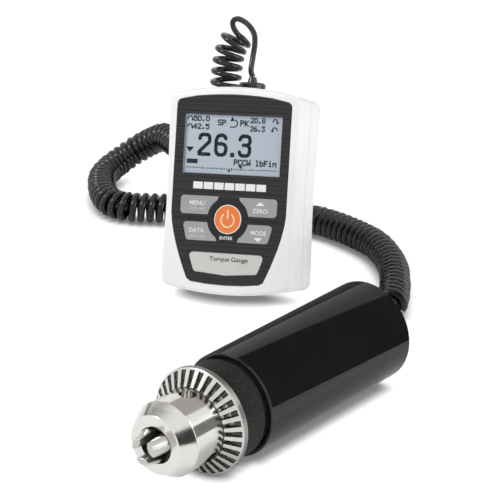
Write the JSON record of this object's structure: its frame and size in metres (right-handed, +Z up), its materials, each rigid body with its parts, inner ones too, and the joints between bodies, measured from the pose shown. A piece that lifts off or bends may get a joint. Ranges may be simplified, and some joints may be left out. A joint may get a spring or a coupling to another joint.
{
  "type": "torque gauge",
  "caption": "Hand-held torque gauge: indicator with display and keypad, joined by a curly cord to a cylindrical torque sensor with a keyed jaw chuck.",
  "frame": {"origin": "on the floor, under the middle of the indicator and the sensor together, their cord left out", "axes": "+Z is up. +X runs along the sensor from its chuck to its cord. The indicator's face looks towards -X, a little towards -Y, and leans back"},
  "size_m": [0.3208, 0.3052, 0.1324],
  "materials": {
    "white_plastic": "fine matt moulding",
    "overlay_film": "dark grey printed film",
    "silver_foil": "satin foil",
    "clear_window": "clear",
    "display_glass": "grey-blue liquid crystal",
    "key_grey": "matt grey",
    "key_orange": "matt orange",
    "silicone": "soft matt",
    "board_green": "circuit board lacquer",
    "battery_wrap": "shrink wrap",
    "steel": "turned steel",
    "bright_steel": "ground bright steel",
    "black_plastic": "black moulding",
    "black_anodised": "black anodised",
    "grey_coating": "dark speckled coating",
    "rubber": "matt",
    "cord_jacket": "smooth polyurethane"
  },
  "bodies": {
    "gauge": {"front_housing": "white_plastic", "rear_housing": "white_plastic", "face_overlay": "overlay_film", "label_plate": "silver_foil", "display_window": "clear_window", "display_module": "display_glass", "key_pad": "silicone", "main_board": "board_green", "battery_pack": "battery_wrap", "data_socket": "steel", "charge_socket": "black_plastic", "housing_screw_1": "steel", "housing_screw_2": "steel", "housing_screw_3": "steel", "housing_screw_4": "steel", "cord_gland": "black_plastic", "gland_nut": "black_plastic", "handle_tube": "black_anodised", "front_plate": "black_plastic", "front_bearing": "steel", "seal_ring": "rubber", "front_collar": "grey_coating", "torque_shaft": "steel", "anchor_ring": "steel", "sensor_board": "board_green", "rear_cap": "black_anodised", "cord_relief": "rubber", "chuck_body": "bright_steel", "cord_curl": "cord_jacket", "cord_tail_indicator": "cord_jacket", "cord_tail_sensor": "cord_jacket"},
    "sleeve": {"chuck_sleeve": "bright_steel", "chuck_nut": "steel"},
    "first_jaw": {"jaw_1": "bright_steel"},
    "second_jaw": {"jaw_2": "bright_steel"},
    "third_jaw": {"jaw_3": "bright_steel"},
    "menu_key": {"key_menu": "key_grey"},
    "data_key": {"key_data": "key_grey"},
    "zero_key": {"key_zero": "key_grey"},
    "mode_key": {"key_mode": "key_grey"},
    "power_key": {"key_power": "key_orange"}
  },
  "joints": [
    {"name": "sleeve_turn", "type": "hinge", "parent": "gauge", "child": "sleeve", "pos_m": [-0.0892, -0.06788, 0.0256], "axis": [-1, 0, 0], "range_deg": [-1805, 1715]},
    {"name": "jaw_1_slide", "type": "slide", "parent": "gauge", "child": "first_jaw", "axis": [0.9659, 0.2146, 0.1447], "range_m": [-0.008, 0.0076]},
    {"name": "jaw_2_slide", "type": "slide", "parent": "gauge", "child": "second_jaw", "axis": [0.9659, 0.0181, -0.2582], "range_m": [-0.00805, 0.00765]},
    {"name": "jaw_3_slide", "type": "slide", "parent": "gauge", "child": "third_jaw", "axis": [0.9659, -0.2326, 0.1135], "range_m": [-0.00805, 0.00765]},
    {"name": "key_menu_press", "type": "slide", "parent": "gauge", "child": "menu_key", "axis": [0.9095, 0.2168, -0.3546], "range_m": [0, 0.0004], "stiffness_N_per_m": 2000},
    {"name": "key_data_press", "type": "slide", "parent": "gauge", "child": "data_key", "axis": [0.9095, 0.2168, -0.3546], "range_m": [0, 0.0004], "stiffness_N_per_m": 2000},
    {"name": "key_zero_press", "type": "slide", "parent": "gauge", "child": "zero_key", "axis": [0.9095, 0.2168, -0.3546], "range_m": [0, 0.0004], "stiffness_N_per_m": 2000},
    {"name": "key_mode_press", "type": "slide", "parent": "gauge", "child": "mode_key", "axis": [0.9095, 0.2168, -0.3546], "range_m": [0, 0.0004], "stiffness_N_per_m": 2000},
    {"name": "key_power_press", "type": "slide", "parent": "gauge", "child": "power_key", "axis": [0.9095, 0.2168, -0.3546], "range_m": [0, 0.0004], "stiffness_N_per_m": 2000}
  ],
  "couplings": [
    {"joint": "sleeve_turn", "follows": "jaw_1_slide", "rad_per_m": 3927},
    {"joint": "jaw_2_slide", "follows": "jaw_1_slide", "ratio": 1},
    {"joint": "jaw_3_slide", "follows": "jaw_1_slide", "ratio": 1}
  ]
}
